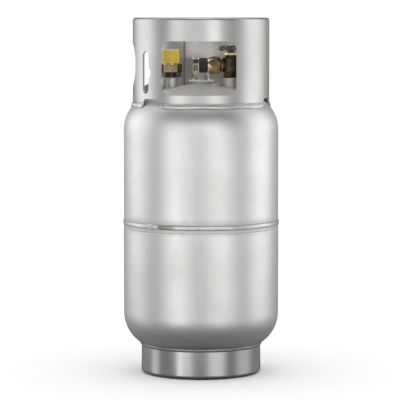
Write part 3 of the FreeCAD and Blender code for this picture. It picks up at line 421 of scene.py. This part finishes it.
# Relief body: a paler copy of the brass, as painted light, with a band of painted shade under its hex.
RELIEF_BRASS = machined("relief_brass", (0.95, 0.78, 0.50, 1), (0.34, 0.22, 0.12, 1), 0.28, tarnish=0.75,
                        shade_band=(0.586, 0.6022))
OLD_BRASS = machined("old_brass", (0.52, 0.45, 0.33, 1), (0.24, 0.21, 0.16, 1), 0.30, tarnish=0.8)
# Outage boss: a paler copy of the boss aluminium, as painted light.
BOSS_PAINTED_LIGHT = machined("boss_painted_light", grey(0.92), grey(0.75, 0.02), 0.60, tarnish=0.5)
# Painted shade: a dark band under the knob of the outage screw.
VENT_SCREW = machined("vent_screw", grey(0.74), grey(0.55, 0.03), 0.22, tarnish=0.5, shade_band=(0.6185, 0.6258))
PLATED = machined("zinc_plated_steel", grey(0.80), grey(0.62, 0.03), 0.20, tarnish=0.4)
SPRING = machined("spring_steel", grey(0.55), grey(0.40, 0.02), 0.28)
TUBE = machined("drawn_tube", grey(0.62), grey(0.50, 0.01), 0.30)
CASTING = machined("gauge_casting", grey(0.84, 0.03), grey(0.66, 0.04), 0.55, metallic=0.4)
RUBBER = moulded("seal_rubber", (0.02, 0.02, 0.02, 1), (0.05, 0.05, 0.05, 1), 0.55)
BLACK = moulded("cap_black", (0.015, 0.012, 0.009, 1), (0.05, 0.042, 0.033, 1), 0.42)
YELLOW = moulded("cap_yellow", (0.78, 0.59, 0.05, 1), (0.55, 0.36, 0.06, 1), 0.36, coat=0.2)
DIAL = moulded("dial_white", (0.80, 0.80, 0.77, 1), (0.68, 0.67, 0.62, 1), 0.45)
RED = moulded("pointer_red", (0.55, 0.03, 0.02, 1), (0.45, 0.04, 0.03, 1), 0.35)
MAGNET = machined("magnet_dark", grey(0.25), grey(0.18), 0.45)
LENS = clear_plastic("clear_lens")
BUSH = moulded("bush_plastic", (0.75, 0.72, 0.62, 1), (0.62, 0.58, 0.48, 1), 0.45)
PAINT = painted("handwheel_paint", (0.050, 0.050, 0.044, 1), grey(0.55), 0.30)

SLOT_LOOKS = {
    "bare_shell": SHELL, "bare_collar": COLLAR, "weld_bead": WELD, "boss_aluminium": BOSS,
    "valve_brass": DULL_BRASS, "bright_brass": BRIGHT_BRASS, "handwheel_paint": PAINT, "plated_steel": PLATED,
    "spring_steel": SPRING, "tube_steel": TUBE, "gauge_casting": CASTING, "seal_rubber": RUBBER,
    "cap_black": BLACK, "cap_yellow": YELLOW, "dial_white": DIAL, "pointer_red": RED, "magnet_dark": MAGNET,
    "clear_lens": LENS, "bush_plastic": BUSH,
}
NODE_LOOKS = {
    "foot_ring": FOOT, "valve_body": DARK_BRASS, "valve_bonnet": PALE_BRASS, "relief_body": RELIEF_BRASS,
    "filler_body": FILLER_BRASS, "outage_body": OLD_BRASS, "outage_boss": BOSS_PAINTED_LIGHT, "outage_screw": VENT_SCREW,
    "collar_seam_weld": SEAM,
}
SOFT_EDGES = {
    "valve_handwheel": 0.0008, "valve_body": 0.0004, "valve_bonnet": 0.0003, "coupling_body": 0.0003,
    "relief_body": 0.0003, "filler_body": 0.0003, "outage_body": 0.0003, "gauge_head": 0.0004,
    "collar": 0.0014, "foot_ring": 0.0004, "coupling_cap": 0.0003, "relief_cap": 0.0004, "filler_cap": 0.0004,
    "outage_screw": 0.0002, "gauge_screws": 0.0002, "handwheel_screw": 0.0002,
}


def dress_frame():
    """Every CAD node gets its own or its slot's look, smooth faces and slightly rounded edges."""
    sharp = math.radians(32)
    slot_of = {row["node"]: row["material_slot"] for row in frame["record"]["subparts"]}
    for name, node in NODES.items():
        node.data.materials.clear()
        node.data.materials.append(NODE_LOOKS.get(name) or SLOT_LOOKS[slot_of[name]])
        node.data.shade_smooth()
        node.data.set_sharp_from_angle(angle=sharp)
        if name in SOFT_EDGES:
            bevel = node.modifiers.new("soft_edges", "BEVEL")
            bevel.width = SOFT_EDGES[name]
            bevel.segments = 2
            bevel.limit_method = "ANGLE"
            bevel.angle_limit = sharp
            bevel.harden_normals = True


# Shell

def crown_centre_z(radius, tangent_z, side):
    """Height of a crown's centre; side is +1 on the upper head and -1 on the lower one."""
    reach = math.sqrt((CROWN_RADIUS - KNUCKLE_RADIUS) ** 2 - (radius - KNUCKLE_RADIUS) ** 2)
    return tangent_z - side * reach


def head_section(radius, tangent_z, side, inset, steps=26):
    """Section from the crown's pole to the tangent line."""
    centre_z = crown_centre_z(radius, tangent_z, side)
    knuckle_r = radius - KNUCKLE_RADIUS
    slope = math.degrees(math.atan2(abs(tangent_z - centre_z), knuckle_r))
    crown = arc((0, centre_z), CROWN_RADIUS - inset, side * 90, side * slope, steps)
    knuckle = arc((knuckle_r, tangent_z), KNUCKLE_RADIUS - inset, side * slope, 0, steps)
    crown[0] = (0, crown[0][1])
    return crown + knuckle[1:]


def straight(start, end, steps):
    """Points along a straight line, without its start."""
    return [(start[0] + (end[0] - start[0]) * i / steps, start[1] + (end[1] - start[1]) * i / steps)
            for i in range(1, steps + 1)]


def drawn_wave(r, z, angle):
    """Slight unevenness of a deep-drawn wall, always inwards."""
    point = Vector((math.cos(angle) * 1.6, math.sin(angle) * 1.6, z * 5))
    wave = 0.5 + 0.5 * noise.noise(point)
    fine = 0.5 + 0.5 * noise.noise(Vector((math.cos(angle) * 5, math.sin(angle) * 5, z * 3 + 7)))
    fade = min(1.0, r / 0.10)
    return r - fade * (0.00035 * wave + 0.00012 * fine), z


def make_upper_shell():
    """Upper half, from its crown down to the groove of the girth weld."""
    radius = UPPER_RADIUS
    outer = head_section(radius, UPPER_TANGENT_Z, 1, 0)
    inner = head_section(radius, UPPER_TANGENT_Z, 1, SHELL_WALL)
    low = GIRTH_Z + 0.0005
    section = outer + straight(outer[-1], (radius, low), 44) + [(radius - SHELL_WALL, low)]
    section += straight((radius - SHELL_WALL, low), inner[-1], 10) + list(reversed(inner[:-1]))
    shell = lathe("upper_shell", section, SHELL, shake=drawn_wave)
    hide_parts("upper_head")


def make_lower_shell():
    """Lower half: a faint rolled line below the weld, and its upper edge set inwards under the upper half."""
    radius = LOWER_RADIUS
    outer = head_section(radius, LOWER_TANGENT_Z, -1, 0)
    inner = head_section(radius, LOWER_TANGENT_Z, -1, SHELL_WALL)
    joggle_low = GIRTH_Z - JOGGLE
    steps = 14
    joggle = []
    for i in range(1, steps + 1):
        share = i / steps
        blend = share * share * (3 - 2 * share)
        joggle.append((radius + (LIP_RADIUS - radius) * blend, joggle_low + JOGGLE * share))
    line_low = ROLLED_LINE_Z - 3 * ROLLED_LINE_WIDTH
    section = outer + straight(outer[-1], (radius, line_low), 38)
    for i in range(1, 13):
        z = line_low + ROLLED_LINE_WIDTH * i / 2
        dip = math.exp(-((z - ROLLED_LINE_Z) / ROLLED_LINE_WIDTH) ** 2)
        section.append((radius - ROLLED_LINE_DEPTH * dip, z))
    section += straight(section[-1], (radius, joggle_low), 2) + joggle
    section += [(LIP_RADIUS, LIP_TOP_Z), (LIP_RADIUS - SHELL_WALL, LIP_TOP_Z)]
    section += [(r - SHELL_WALL, z) for r, z in reversed(joggle)]
    section += straight((inner[-1][0], joggle_low), inner[-1], 8) + list(reversed(inner[:-1]))
    shell = lathe("lower_shell", section, SHELL, shake=drawn_wave)
    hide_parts("lower_head")


# Welds

def wobble(angle, seed, rate):
    """Smooth value from -1 to 1 that closes on itself round the cylinder."""
    return noise.noise(Vector((math.cos(angle) * rate, math.sin(angle) * rate, seed * 3.7)))


def bead_ring(angle, centre_r, centre_z, tilt, half_width, rise, pitch, seed, size=22):
    """Ring of points across a weld bead at one azimuth; its ripples are crescents across the bead.

    tilt turns the bead's face upwards from level, rise is its height above the plate and pitch the spacing
    of its ripples.
    """
    ring = []
    arc_length = angle * centre_r
    grow = 1 + 0.10 * wobble(angle, seed, 9)
    drift = 0.0006 * wobble(angle, seed + 5, 6)
    for k in range(size):
        turn = 2 * math.pi * k / size
        across = math.cos(turn) * half_width * grow
        bend = (across / half_width) ** 2 * 0.9 * pitch
        phase = 2 * math.pi * (arc_length + bend) / pitch + 1.5 * wobble(angle, seed + 2, 14)
        ripple = (0.5 + 0.5 * math.sin(phase)) ** 0.6
        up = math.sin(turn)
        lift = up * rise * grow * (0.80 + 0.20 * ripple if up > 0 else 1.0)
        r = centre_r + lift * math.cos(tilt) - across * math.sin(tilt)
        z = centre_z + drift + lift * math.sin(tilt) + across * math.cos(tilt)
        ring.append((r * math.cos(angle), r * math.sin(angle), z))
    return ring


def along_shell(angle, other):
    """Distance round the shell between two azimuths."""
    return abs((angle - other + math.pi) % (2 * math.pi) - math.pi) * UPPER_RADIUS


def make_girth_weld():
    """Bead round the middle, with a raised start-and-stop at the left of the front and a crater beside it."""
    centre_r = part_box("girth_weld")[1].x - 0.0016
    stop_angle = math.radians(GIRTH_STOP_AZIMUTH)
    crater_angle = stop_angle + GIRTH_CRATER_AWAY / UPPER_RADIUS

    def ring_at(share):
        angle = 2 * math.pi * share - math.pi
        lump = math.exp(-(along_shell(angle, stop_angle) / 0.007) ** 2)
        crater = math.exp(-(along_shell(angle, crater_angle) / 0.009) ** 4)
        return bead_ring(angle, centre_r, GIRTH_Z, tilt=0.0, half_width=0.0042 + 0.0026 * lump,
                         rise=0.00125 + 0.0002 * lump - 0.0010 * crater, pitch=0.0031, seed=1.0)

    bead = swept("girth_weld_bead", ring_at, 1500, True, GIRTH_WELD)
    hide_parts("girth_weld")


def make_foot_weld():
    """Fillet between foot ring and lower half."""

    def ring_at(share):
        return bead_ring(2 * math.pi * share, FOOT_TOP_RADIUS, FOOT_WELD_Z, tilt=math.radians(-24),
                         half_width=0.0036, rise=0.0030, pitch=0.0030, seed=2.0)

    bead = swept("foot_weld_bead", ring_at, 1000, True, DARK_WELD)
    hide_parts("foot_ring_weld")


def make_collar_weld(index, first, last):
    """One fillet run at the collar's base, tapered at both ends, with two pits where it starts."""
    length = math.radians(last - first) * COLLAR_RADIUS

    def ring_at(share):
        angle = math.radians(first - 90 + (last - first) * share)
        from_end = min(share, 1 - share) * length
        near = min(1.0, (from_end + 0.0003) / COLLAR_WELD_TAPER)
        full = math.sqrt(max(0.0, near * 2 - near ** 2))
        sunk = sum(depth * math.exp(-((share * length - place) / width) ** 2)
                   for place, width, depth in COLLAR_WELD_PITS)
        return bead_ring(angle, COLLAR_RADIUS + 0.0006 - sunk, COLLAR_WELD_Z, tilt=math.radians(21),
                         half_width=0.0053 * (0.35 + 0.65 * full), rise=0.0023 * (0.15 + 0.85 * full),
                         pitch=0.0034, seed=3.0 + index)

    return swept(f"collar_weld_bead_{index}", ring_at, int(length / 0.0006), False, WELD)


def make_collar_welds():
    """The three runs."""
    for index, (first, last) in enumerate(COLLAR_WELD_ARCS, start=1):
        bead = make_collar_weld(index, first, last)
        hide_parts("collar_weld")


def make_boss_weld(name, radius, index):
    """Rippled fillet round one boss, following the upper head's crown."""
    low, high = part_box(name)
    centre = (low + high) / 2
    crown_z = crown_centre_z(UPPER_RADIUS, UPPER_TANGENT_Z, 1)
    bead_radius = 0.0030
    pitch = 0.0026
    size = 16

    def ring_at(share):
        angle = 2 * math.pi * share
        along = Vector((math.cos(angle), math.sin(angle), 0))
        foot = centre + along * (radius + 0.0006)
        foot.z = crown_z + math.sqrt(CROWN_RADIUS ** 2 - foot.x ** 2 - foot.y ** 2)
        length = angle * radius
        swell = 1 + 0.08 * wobble(angle, 8 + index, 2.5)
        ring = []
        for k in range(size):
            turn = 2 * math.pi * k / size
            ripple = 0.90 + 0.10 * math.sin(2 * math.pi * length / pitch + 1.2 * math.sin(turn))
            reach = bead_radius * swell * (ripple if math.sin(turn) > -0.2 else 1.0)
            ring.append(foot + along * (reach * math.cos(turn)) + Vector((0, 0, reach * math.sin(turn))))
        return ring

    bead = swept(name + "_weld_bead", ring_at, 240, True, WELD)
    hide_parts("boss_welds")


def make_boss_welds():
    """A fillet round each boss."""
    for index, (name, radius) in enumerate(BOSS_RADII.items()):
        make_boss_weld(name, radius, index)


# Studio

ROOM_RADIUS = 2.0
ROOM_CENTRE_Z = 0.35
BOOTH_STRENGTH = 0.42             # of the light between the columns

# Upright columns of light, each the azimuth of its middle from the front, its half width and its strength
LOW_COLUMNS = ((-97.0, 16.0, 0.70), (-41.0, 9.0, 0.82), (-29.0, 22.0, 0.76), (29.0, 25.0, 0.88),
               (88.0, 27.0, 0.54))
SHELL_COLUMNS = ((-36.0, 25.0, 1.20), (-3.0, 24.0, 0.34), (30.0, 26.0, 1.06))
SIDE_COLUMNS = ((-106.0, 32.0, 1.02), (94.0, 34.0, 1.22))
COLLAR_COLUMNS = ((-108.0, 40.0, 0.98), (-42.0, 17.0, 0.70), (-9.0, 42.0, 0.50), (22.0, 16.0, 1.05),
                  (99.0, 40.0, 0.92))

# Tiers of columns, each with the sines of elevation where it rises (from, to) and falls (from, to)
LIGHT_TIERS = ((LOW_COLUMNS, -0.62, -0.36, -0.29, -0.24), (SHELL_COLUMNS, -0.29, -0.24, 0.03, 0.09),
               (SIDE_COLUMNS, -0.34, -0.08, 0.03, 0.09), (COLLAR_COLUMNS, 0.03, 0.09, 2.0, 3.0))

# High up in front the room is darker by a share, between these sines of elevation and up to these azimuths
FRONT_SHADE = 0.62
FRONT_SHADE_RISE = (0.34, 0.72)
FRONT_SHADE_FALL = (0.93, 0.98)
FRONT_SHADE_EDGE = (40.0, 75.0)

REAR_EDGE = (138.0, 172.0)        # azimuths over which the room dims towards the rear
REAR_SHARE = 0.30
HEIGHT_SHARES = ((-1.0, 0.42), (-0.83, 0.50), (-0.55, 0.66), (-0.26, 0.92), (-0.05, 1.0), (0.40, 0.98),
                 (0.63, 0.66), (0.80, 0.56), (0.92, 0.95), (1.0, 3.0))    # sine of elevation, share of the light
WORLD_STRENGTH = 1.2
FLOOR_HALF = 60.0


def light_columns(s, azimuth, columns):
    """Sum of soft upright columns of light: azimuth of the middle, half width and strength of each."""
    total = 0.0
    for centre, half_width, power in columns:
        away = s.math("ABSOLUTE", s.math("SUBTRACT", azimuth, math.radians(centre)))
        band = s.spread(away, 0.25 * math.radians(half_width), math.radians(half_width), power, 0.0, smooth=True)
        total = s.math("ADD", band, total)
    return total


def room_light():
    """Light from each direction: tiers of soft lights round a dim booth, over a dark table."""
    s = Surface("room_light")
    s.tree.nodes.remove(s.shader)
    towards = s.add("ShaderNodeVectorMath", {0: s.place()}, operation="NORMALIZE").outputs[0]
    split = s.add("ShaderNodeSeparateXYZ", {0: towards})
    azimuth = s.math("ARCTAN2", split.outputs[0], s.math("MULTIPLY", split.outputs[1], -1.0))
    sine = split.outputs[2]
    from_front = s.math("ABSOLUTE", azimuth)
    light = BOOTH_STRENGTH
    for columns, rise_from, rise_to, fall_from, fall_to in LIGHT_TIERS:
        rise = s.spread(sine, rise_from, rise_to, smooth=True)
        fall = s.spread(sine, fall_from, fall_to, 1.0, 0.0, smooth=True)
        tier = s.math("MULTIPLY", light_columns(s, azimuth, columns), s.math("MULTIPLY", rise, fall))
        light = s.math("ADD", tier, light)
    behind = s.spread(from_front, *map(math.radians, REAR_EDGE), 1.0, REAR_SHARE, smooth=True)
    light = s.math("MULTIPLY", light, behind)
    facing = s.spread(from_front, *map(math.radians, FRONT_SHADE_EDGE), 1.0, 0.0, smooth=True)
    overhead = s.math("MULTIPLY", s.spread(sine, *FRONT_SHADE_RISE, smooth=True),
                      s.spread(sine, *FRONT_SHADE_FALL, 1.0, 0.0, smooth=True))
    shade = s.math("MULTIPLY", s.math("MULTIPLY", facing, overhead), FRONT_SHADE)
    light = s.math("MULTIPLY", light, s.math("SUBTRACT", 1.0, shade))
    by_height = s.add("ShaderNodeFloatCurve", {1: s.spread(sine, -1.0, 1.0)})
    curve = by_height.mapping.curves[0]
    for level, share in HEIGHT_SHARES[1:-1]:
        curve.points.new(0.5 + 0.5 * level, share)
    curve.points[0].location = (0.0, HEIGHT_SHARES[0][1])
    curve.points[-1].location = (1.0, HEIGHT_SHARES[-1][1])
    by_height.mapping.update()
    strength = s.math("MULTIPLY", light, by_height.outputs[0])
    glow = s.add("ShaderNodeEmission", {"Color": (1.0, 1.002, 0.976, 1.0), "Strength": strength})
    output = next(n for n in s.tree.nodes if n.type == "OUTPUT_MATERIAL")
    s.tree.links.new(glow.outputs[0], output.inputs[0])
    return s.material


def make_room():
    """Surroundings that only gloss sees."""
    mesh = bpy.data.meshes.new("room")
    build = bmesh.new()
    bmesh.ops.create_uvsphere(build, u_segments=48, v_segments=24, radius=ROOM_RADIUS)
    build.to_mesh(mesh)
    build.free()
    mesh.materials.append(room_light())
    room = bpy.data.objects.new("room", mesh)
    room.location = (0, 0, ROOM_CENTRE_Z)
    bpy.context.scene.collection.objects.link(room)
    for kind in ("camera", "diffuse", "transmission", "volume_scatter", "shadow"):
        setattr(room, "visible_" + kind, False)


def make_floor():
    """Pale floor, which gloss doesn't see."""
    look = Surface("pale_floor", Base_Color=(0.90, 0.90, 0.90, 1.0), Roughness=0.95, Specular_IOR_Level=0.0)
    mesh = bpy.data.meshes.new("floor")
    corners = [(x * FLOOR_HALF, y * FLOOR_HALF, 0) for x, y in ((-1, -1), (1, -1), (1, 1), (-1, 1))]
    mesh.from_pydata(corners, [], [(0, 1, 2, 3)])
    mesh.materials.append(look.material)
    plane = bpy.data.objects.new("floor", mesh)
    plane.visible_glossy = False
    bpy.context.scene.collection.objects.link(plane)


def make_studio():
    """Pale floor, pale surroundings and soft light."""
    make_floor()
    world = bpy.data.worlds.new("pale_room")
    bpy.context.scene.world = world
    world.use_nodes = True
    background = world.node_tree.nodes["Background"]
    background.inputs["Color"].default_value = (1.0, 1.0, 1.0, 1.0)
    background.inputs["Strength"].default_value = WORLD_STRENGTH
    world.cycles_visibility.glossy = False
    make_room()
    bpy.context.scene.view_settings.view_transform = "Standard"


CAMERA_PLACE = Vector((-0.0021, -4.40, 0.713))
CAMERA_AIM = Vector((-0.0021, 0.0, 0.346))
CAMERA_LENS = 198.0               # millimetres


def make_camera():
    """Far camera at the height of the collar's rim, looking slightly down."""
    data = bpy.data.cameras.new("camera")
    data.lens = CAMERA_LENS
    data.clip_end = 100.0
    camera = bpy.data.objects.new("camera", data)
    camera.location = CAMERA_PLACE
    camera.rotation_euler = (CAMERA_AIM - CAMERA_PLACE).to_track_quat("-Z", "Y").to_euler()
    bpy.context.scene.collection.objects.link(camera)
    bpy.context.scene.camera = camera


dress_frame()
make_upper_shell()
make_lower_shell()
make_girth_weld()
make_foot_weld()
make_collar_welds()
make_boss_welds()
make_studio()
make_camera()
